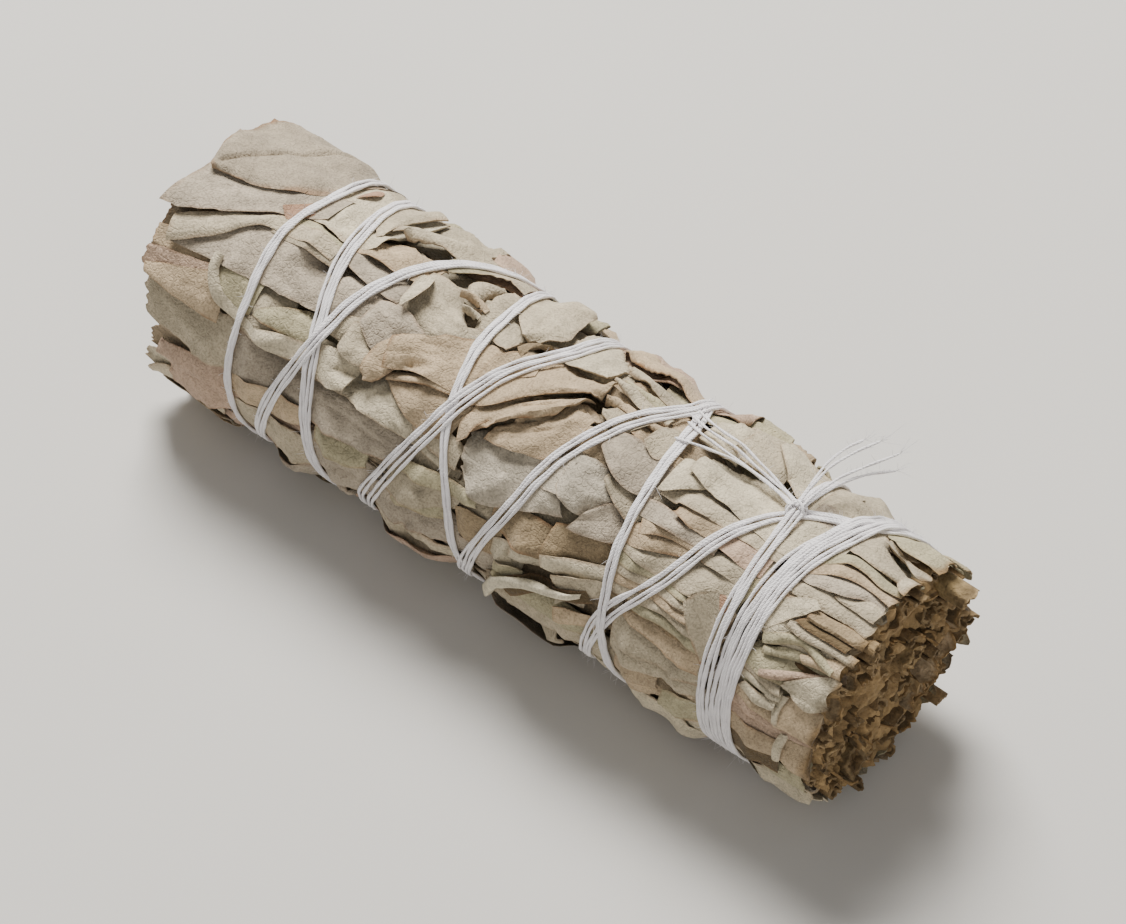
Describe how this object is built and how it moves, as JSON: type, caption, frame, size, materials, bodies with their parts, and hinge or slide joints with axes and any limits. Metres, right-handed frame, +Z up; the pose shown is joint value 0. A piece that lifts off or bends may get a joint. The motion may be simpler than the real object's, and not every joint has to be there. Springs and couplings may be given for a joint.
{
  "type": "herb smudge bundle",
  "caption": "Dried white sage smudge bundle: pale felted leaves and cut brown stalks rolled into a short thick stick and bound with crossing cotton thread.",
  "frame": {"origin": "on the surface that the bundle lies on, under the middle of its box", "axes": "+X along the bundle towards the cut stalks, +Y across it, +Z up"},
  "size_m": [0.104, 0.0349, 0.0346],
  "materials": {
    "leaf": "dry, felted, matte grey-green to tan leaf",
    "inner_leaf": "dry, felted, matte leaf in shade",
    "stalk": "dry brown stem with a fibrous cut end",
    "thread": "loosely twisted white cotton with fine fuzz"
  },
  "bodies": {
    "root": {"outer_sprig_01": "leaf", "outer_sprig_02": "leaf", "outer_sprig_03": "leaf", "outer_sprig_04": "leaf", "outer_sprig_05": "leaf", "outer_sprig_06": "leaf", "outer_sprig_07": "leaf", "inner_sprig_01": "inner_leaf", "inner_sprig_02": "inner_leaf", "inner_sprig_03": "inner_leaf", "inner_sprig_04": "inner_leaf", "inner_sprig_05": "inner_leaf", "inner_sprig_06": "inner_leaf", "stalk_01": "stalk", "stalk_02": "stalk", "stalk_03": "stalk", "stalk_04": "stalk", "stalk_05": "stalk", "stalk_06": "stalk", "stalk_07": "stalk", "stalk_08": "stalk", "stalk_09": "stalk", "stalk_10": "stalk", "stalk_11": "stalk", "stalk_12": "stalk", "stalk_13": "stalk", "stalk_14": "stalk", "stalk_15": "stalk", "stalk_16": "stalk", "stalk_17": "stalk", "stalk_18": "stalk", "stalk_19": "stalk", "thread": "thread"}
  },
  "joints": []
}
